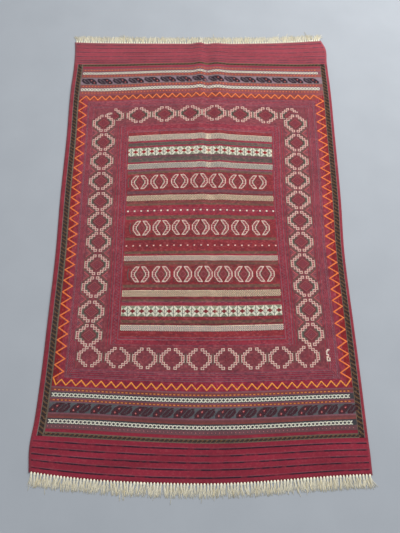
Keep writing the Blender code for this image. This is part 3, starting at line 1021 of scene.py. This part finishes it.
def carry_yarns(s, fan, reach, wave, waves, offset, layer, v_end, outwards):
    """The yarns: each one a thin round profile carried along a bent path that falls to the floor.

    The path leaves the knot at the cloth's end, fans sideways with its length to the 1.4 and waves a little.
    """
    count = len(s)
    t = np.linspace(0, 1, YARN_STATIONS)
    root_x, root_y = floor_place(s, v_end)
    root_lift = lift(s, np.full(count, v_end))
    x = root_x[:, None] + offset[:, None] + (fan * reach)[:, None] * t**1.4
    x = x + wave[:, None] * np.sin(math.pi * waves[:, None] * t)
    y = root_y[:, None] + outwards * (0.0015 + reach[:, None] * t * np.cos(fan)[:, None])
    radius = YARN_RADIUS * (1 - 0.35 * t) * np.ones((count, 1))
    fall = np.clip(1 - t / 0.3, 0, 1)
    z = root_lift[:, None] * (1 - t) ** 2 + radius + 0.0012 * fall
    z = z + layer[:, None] * 0.0016 * np.sin(math.pi * np.clip(t * 1.15, 0, 1))
    path = np.stack([x, y, z], -1)
    angle = 2 * math.pi * (np.arange(YARN_SIDES) + 0.5) / YARN_SIDES
    ahead = np.gradient(path, axis=1)
    flat = np.stack([-ahead[..., 1], ahead[..., 0], np.zeros_like(x)], -1)
    flat /= np.linalg.norm(flat, axis=-1, keepdims=True)
    ring = (
        path[:, :, None, :]
        + radius[:, :, None, None] * np.cos(angle)[None, None, :, None] * flat[:, :, None, :]
        + radius[:, :, None, None] * np.sin(angle)[None, None, :, None] * np.array((0, 0, 1.0))
    )
    ring[..., 2] = np.maximum(ring[..., 2], LEAST_HEIGHT)
    last = (YARN_STATIONS - 1) * YARN_SIDES
    ends = np.arange(YARN_SIDES)
    quads = np.concatenate([tube_faces(YARN_STATIONS, YARN_SIDES)[:, ::-1], [ends[::-1]], [last + ends]])
    faces = (np.arange(count)[:, None, None] * YARN_STATIONS * YARN_SIDES + quads).reshape(-1, 4)
    return ring.reshape(-1, 3), faces


def tie_knots(lock, v_end, outwards):
    """The knots: a squat bead at each root, its rings of six points wider than they are high."""
    share, radius, middle = (column[None, :, None] for column in KNOT_RINGS.T)
    root_x, root_y = floor_place(lock, v_end)
    root_lift = lift(lock, np.full(len(lock), v_end))
    around = 2 * math.pi * np.arange(KNOT_SIDES) / KNOT_SIDES
    size = (1 + draw.normal(0, 0.12, len(lock)))[:, None, None]
    x = root_x[:, None, None] + size * radius * 1.25 * np.cos(around)
    y = root_y[:, None, None] + outwards * (KNOT_START + KNOT_LENGTH * share) + 0 * x
    z = root_lift[:, None, None] * (1 - 0.2 * share) + middle
    z = z + size * radius * 0.5 * np.sin(around)
    points = np.stack([x, y, np.maximum(z, LEAST_HEIGHT)], -1).reshape(-1, 3)
    each = len(KNOT_RINGS) * KNOT_SIDES
    first = np.arange(len(lock))[:, None, None] * each
    faces = (first + tube_faces(len(KNOT_RINGS), KNOT_SIDES)).reshape(-1, 4)
    caps = np.stack([np.arange(KNOT_SIDES), each - 1 - np.arange(KNOT_SIDES)])
    caps = (first + caps).reshape(-1, KNOT_SIDES)
    if outwards < 0:
        faces, caps = faces[:, ::-1], caps[:, ::-1]
    return points, faces, caps


def build_fringe(name, v_end, outwards, length, unrest, finish):
    """The frayed warp ends of one end of the cloth: locks of yarn, each from a knot."""
    first = -1 + EDGE_LOCK_INSET / HALF_WIDTH
    pitch = -2 * first / LOCKS_PER_END
    lock = first + (np.arange(LOCKS_PER_END) + 0.5) * pitch
    count = LOCKS_PER_END * YARNS_PER_LOCK
    s = np.repeat(lock, YARNS_PER_LOCK)
    turn = np.repeat(draw.normal(0, 0.10 * unrest, LOCKS_PER_END), YARNS_PER_LOCK) + 0.10 * s
    fan = draw.uniform(-0.34, 0.34, count) * unrest + turn
    reach = length * draw.uniform(0.72, 1.12, count)
    reach = np.where(draw.random(count) < 0.008, reach * 1.5, reach)
    wave = draw.normal(0, 0.0012 * unrest, count)
    waves = draw.uniform(1.0, 2.4, count)
    offset = draw.uniform(-0.0026, 0.0026, count)
    layer = draw.uniform(0, 1, count)
    stray = ((s < -0.965) | (np.abs(s + 0.46) < 0.02)) & (layer > 0.8) & (outwards < 0)
    tuft = (np.abs(s + 0.60) < 0.012) & (outwards > 0)
    reach = reach * np.where(stray, 1.35, 1.0) * np.where(tuft, 1.3, 1.0)
    yarns, faces = carry_yarns(s, fan, reach, wave, waves, offset, layer, v_end, outwards)
    knots, knot_faces, caps = tie_knots(lock, v_end, outwards)
    start = len(yarns)
    corners = np.concatenate([faces.ravel(), start + knot_faces.ravel(), start + caps.ravel()])
    sides = np.repeat([4, KNOT_SIDES], [len(faces) + len(knot_faces), len(caps)])
    made = add_mesh(name, np.concatenate([yarns, knots]), corners, sides, finish)
    cream = linear(YARNS["cream"])
    # random tone per yarn, times painted shade: yarns lying lower in the lock painted darker under those above
    tone = (0.80 + 0.26 * draw.random(count)) * (1 - 0.22 * unrest * (1 - layer))
    soiled = draw.random(count) < 0.18
    tint = np.where(soiled[:, None], (0.92, 0.86, 0.70), (1.0, 1.0, 1.0))
    knot_colour = cream * (1.02 + 0.08 * draw.random(LOCKS_PER_END))[:, None]
    colours = np.concatenate([
        np.repeat(cream * tone[:, None] * tint, YARN_STATIONS * YARN_SIDES, axis=0),
        np.repeat(knot_colour, len(KNOT_RINGS) * KNOT_SIDES, axis=0),
    ])
    colour_points(made, np.clip(colours, 0, 1))
    return made


# The stage

def build_floor():
    """A flat square of floor, faintly uneven in colour alone, centred under the rug."""
    side = np.linspace(-FLOOR_REACH, FLOOR_REACH, FLOOR_POINTS)
    x, y = np.meshgrid(side, side)
    points = np.stack([x, y, np.full(x.shape, -FLOOR_DROP)], -1).reshape(-1, 3)
    faces = grid_faces(np.arange(x.size).reshape(x.shape))
    floor = add_mesh("floor", points, faces.ravel(), np.full(len(faces), 4), floor_finish())


def add_camera():
    """The camera over the near half of the rug, looking steeply down."""
    forward = Vector((0, math.cos(LOOK_DOWN), -math.sin(LOOK_DOWN)))
    right = Vector((1, 0, 0))
    down = forward.cross(right)
    across = right * math.cos(ROLL) + down * math.sin(ROLL)
    below = down * math.cos(ROLL) - right * math.sin(ROLL)
    lens = bpy.data.cameras.new("camera")
    lens.sensor_width = FILM_HEIGHT
    lens.lens = FILM_HEIGHT * FOCAL_PIXELS / PICTURE_HEIGHT
    camera = bpy.data.objects.new("camera", lens)
    place = Vector((SHIFT_X, SHIFT_Y + EYE_ALONG, EYE_HEIGHT))
    turn = Matrix((across, -below, -forward)).transposed()
    camera.matrix_world = Matrix.Translation(place) @ turn.to_4x4()
    bpy.context.scene.collection.objects.link(camera)
    bpy.context.scene.camera = camera


def add_lights():
    """Soft daylight from above and beyond the far end, turned to the rug's middle, and a pale sky all round."""
    world = bpy.data.worlds.new("sky")
    world.use_nodes = True
    sky = world.node_tree.nodes["Background"].inputs
    sky["Color"].default_value = SKY_COLOUR
    sky["Strength"].default_value = SKY_STRENGTH
    bpy.context.scene.world = world
    for name, (place, size, power, colour) in LAMPS.items():
        lamp = bpy.data.lights.new(name, "AREA")
        lamp.size, lamp.energy, lamp.color = size, power, colour
        made = bpy.data.objects.new(name, lamp)
        made.location = place
        made.rotation_euler = (-Vector(place)).to_track_quat("-Z", "Y").to_euler()
        bpy.context.scene.collection.objects.link(made)


# Putting it together

bpy.context.scene.view_settings.view_transform = "Standard"

add_camera()
add_lights()
build_floor()

wool = yarn_finish("wrapped_wool", 0.90, 900.0, 0.25)
warp = yarn_finish("warp_cotton", 0.80, 700.0, 0.15)
cloth = build_ground(cloth_finish())
motifs = [
    build_side_rings(wool),
    build_end_rings(wool),
    build_field_rings(wool),
    build_stars(wool),
    build_lattices(wool),
    build_dots(wool),
    build_zigzags(wool),
    build_barber(wool),
    build_end_bands(wool),
]
near_fringe = build_fringe("near_fringe", 0.0, -1, 0.040, 1.0, warp)
far_fringe = build_fringe("far_fringe", CLOTH_LENGTH, 1, 0.039, 1.5, warp)

for piece in (cloth, *motifs, near_fringe, far_fringe):
    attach(piece, "root")
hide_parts("rug_cloth")
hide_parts("fringe_near")
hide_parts("fringe_far")
